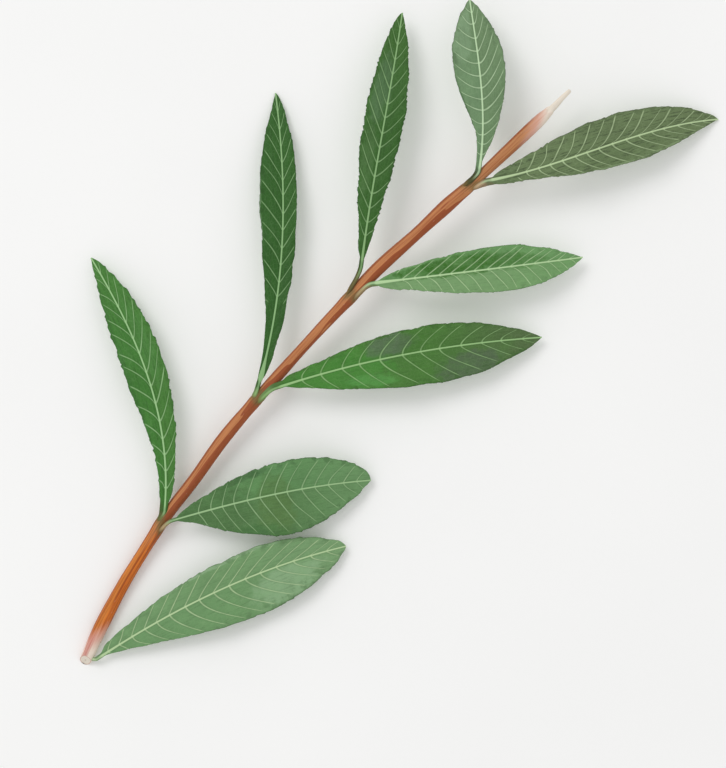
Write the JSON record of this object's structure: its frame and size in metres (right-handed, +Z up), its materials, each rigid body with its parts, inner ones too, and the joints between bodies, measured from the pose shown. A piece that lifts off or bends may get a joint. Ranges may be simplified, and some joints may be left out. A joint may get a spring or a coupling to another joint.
{
  "type": "willow branch",
  "caption": "Cut willow branch lying on its side: a curved red-brown twig with stalked, finely toothed, veined leaves along both sides, as prop or decoration.",
  "frame": {"origin": "middle of the branch's footprint, on the surface that it lies on", "axes": "+Y along the twig from its cut end to its peeled tip, +X to the right of the twig seen from above, +Z up from the surface"},
  "size_m": [0.1343, 0.2811, 0.0173],
  "materials": {
    "twig_bark": "smooth red-brown bark, satin, paling to bare wood at both ends",
    "leaf_1_right": "pale sage leaf, matt underside up",
    "leaf_2_left": "mid-green leaf, soft sheen",
    "leaf_2_right": "grey-green leaf, soft sheen",
    "leaf_3_left": "dark green leaf, soft sheen",
    "leaf_3_right": "green leaf, greyer towards the tip, soft sheen",
    "leaf_4_left": "green leaf, soft sheen",
    "leaf_4_right": "green leaf, one half paler, soft sheen",
    "leaf_5_left": "pale grey-green leaf, matt underside up",
    "leaf_5_right": "olive-green leaf, soft sheen"
  },
  "bodies": {
    "root": {"twig": "twig_bark", "leaf_1_right": "leaf_1_right", "leaf_2_left": "leaf_2_left", "leaf_2_right": "leaf_2_right", "leaf_3_left": "leaf_3_left", "leaf_3_right": "leaf_3_right", "leaf_4_left": "leaf_4_left", "leaf_4_right": "leaf_4_right", "leaf_5_left": "leaf_5_left", "leaf_5_right": "leaf_5_right"}
  },
  "joints": []
}
